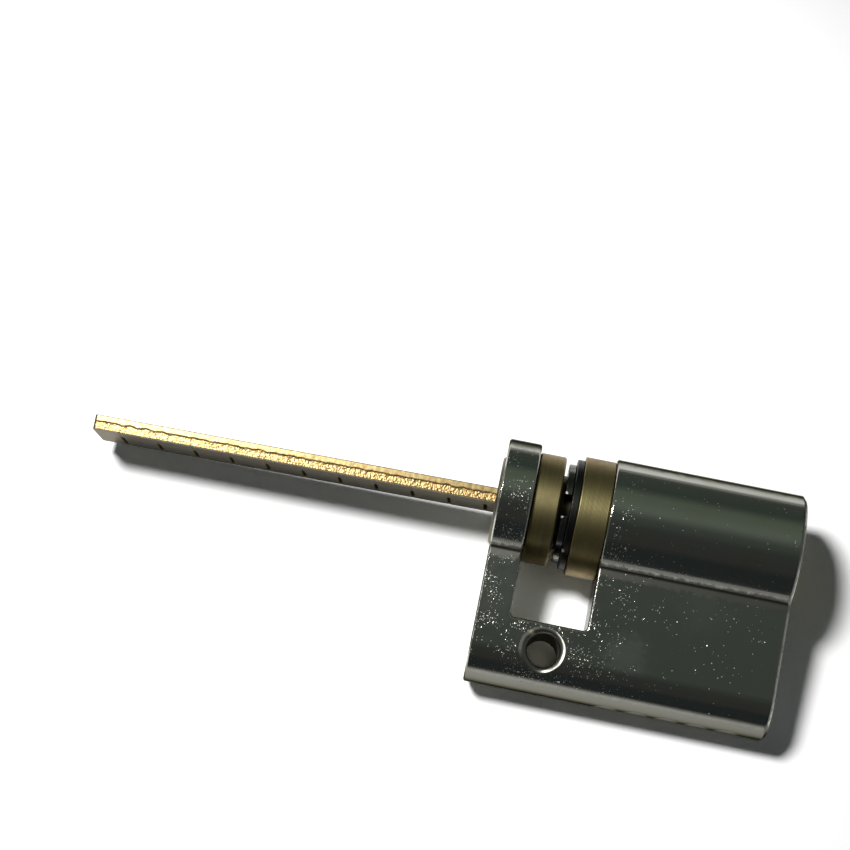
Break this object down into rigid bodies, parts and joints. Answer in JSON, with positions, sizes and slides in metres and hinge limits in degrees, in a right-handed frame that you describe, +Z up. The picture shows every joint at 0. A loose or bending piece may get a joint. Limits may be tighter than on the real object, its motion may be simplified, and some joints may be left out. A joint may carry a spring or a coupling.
{
  "type": "lock cylinder",
  "caption": "Half lock cylinder of the Euro profile: round barrel on a narrow leg, turning plug with sprung pins, and a long flat break-off tail blade in place of a cam.",
  "frame": {"origin": "on the plug's axis, in the plane of the fixing screw", "axes": "+X along the plug's axis to the key side; +Z up from the table that the cylinder lies on; the leg points along -Y, leaning 10.34 degrees below the level, so that barrel and leg both touch the table"},
  "size_m": [0.0953, 0.0327, 0.017],
  "materials": {
    "nickel_plate": "nickel plate over brass, bright",
    "plug_brass": "turned brass",
    "aged_brass": "turned brass, dulled with age",
    "blade_brass": "sheared brass bar",
    "pin_brass": "turned brass",
    "plug_seal": "nickel plate over brass, milled flush",
    "dark_steel": "blackened steel",
    "clip_steel": "spring steel",
    "spring_steel": "drawn wire"
  },
  "bodies": {
    "cylinder": {"cylinder_body": "nickel_plate", "chamber_plug_1": "plug_seal", "chamber_plug_2": "plug_seal", "chamber_plug_3": "plug_seal", "chamber_plug_4": "plug_seal", "chamber_plug_5": "plug_seal", "pin_spring_1": "spring_steel", "pin_spring_2": "spring_steel", "pin_spring_3": "spring_steel", "pin_spring_4": "spring_steel", "pin_spring_5": "spring_steel"},
    "plug": {"plug": "plug_brass", "plug_collar": "aged_brass", "thrust_washer": "dark_steel", "retaining_clip": "clip_steel", "tail_bush": "aged_brass", "tail_pin": "clip_steel"},
    "blade": {"tail_blade": "blade_brass"},
    "key_pin_1": {"key_pin_1": "pin_brass"},
    "driver_pin_1": {"driver_pin_1": "pin_brass"},
    "key_pin_2": {"key_pin_2": "pin_brass"},
    "driver_pin_2": {"driver_pin_2": "pin_brass"},
    "key_pin_3": {"key_pin_3": "pin_brass"},
    "driver_pin_3": {"driver_pin_3": "pin_brass"},
    "key_pin_4": {"key_pin_4": "pin_brass"},
    "driver_pin_4": {"driver_pin_4": "pin_brass"},
    "key_pin_5": {"key_pin_5": "pin_brass"},
    "driver_pin_5": {"driver_pin_5": "pin_brass"}
  },
  "joints": [
    {"name": "plug_turn", "type": "hinge", "parent": "cylinder", "child": "plug", "pos_m": [0, 0, 0], "axis": [1, 0, 0], "continuous": true},
    {"name": "blade_float", "type": "hinge", "parent": "plug", "child": "blade", "pos_m": [-0.0074, 0, 0], "axis": [0, 0.9838, 0.1795], "range_deg": [0, 2.6]},
    {"name": "key_pin_1_drop", "type": "slide", "parent": "plug", "child": "key_pin_1", "axis": [0, 0.9838, 0.1795], "range_m": [0, 0.0027]},
    {"name": "key_pin_2_drop", "type": "slide", "parent": "plug", "child": "key_pin_2", "axis": [0, 0.9838, 0.1795], "range_m": [0, 0.0019]},
    {"name": "key_pin_3_drop", "type": "slide", "parent": "plug", "child": "key_pin_3", "axis": [0, 0.9838, 0.1795], "range_m": [0, 0.0023]},
    {"name": "key_pin_4_drop", "type": "slide", "parent": "plug", "child": "key_pin_4", "axis": [0, 0.9838, 0.1795], "range_m": [0, 0.0011]},
    {"name": "key_pin_5_drop", "type": "slide", "parent": "plug", "child": "key_pin_5", "axis": [0, 0.9838, 0.1795], "range_m": [0, 0.0015]},
    {"name": "driver_pin_1_lift", "type": "slide", "parent": "cylinder", "child": "driver_pin_1", "axis": [0, -0.9838, -0.1795], "range_m": [0, 0.004], "stiffness_N_per_m": 80, "springref_m": -0.003, "deforming": ["pin_spring_1"]},
    {"name": "driver_pin_2_lift", "type": "slide", "parent": "cylinder", "child": "driver_pin_2", "axis": [0, -0.9838, -0.1795], "range_m": [0, 0.004], "stiffness_N_per_m": 80, "springref_m": -0.003, "deforming": ["pin_spring_2"]},
    {"name": "driver_pin_3_lift", "type": "slide", "parent": "cylinder", "child": "driver_pin_3", "axis": [0, -0.9838, -0.1795], "range_m": [0, 0.004], "stiffness_N_per_m": 80, "springref_m": -0.003, "deforming": ["pin_spring_3"]},
    {"name": "driver_pin_4_lift", "type": "slide", "parent": "cylinder", "child": "driver_pin_4", "axis": [0, -0.9838, -0.1795], "range_m": [0, 0.004], "stiffness_N_per_m": 80, "springref_m": -0.003, "deforming": ["pin_spring_4"]},
    {"name": "driver_pin_5_lift", "type": "slide", "parent": "cylinder", "child": "driver_pin_5", "axis": [0, -0.9838, -0.1795], "range_m": [0, 0.004], "stiffness_N_per_m": 80, "springref_m": -0.003, "deforming": ["pin_spring_5"]}
  ]
}
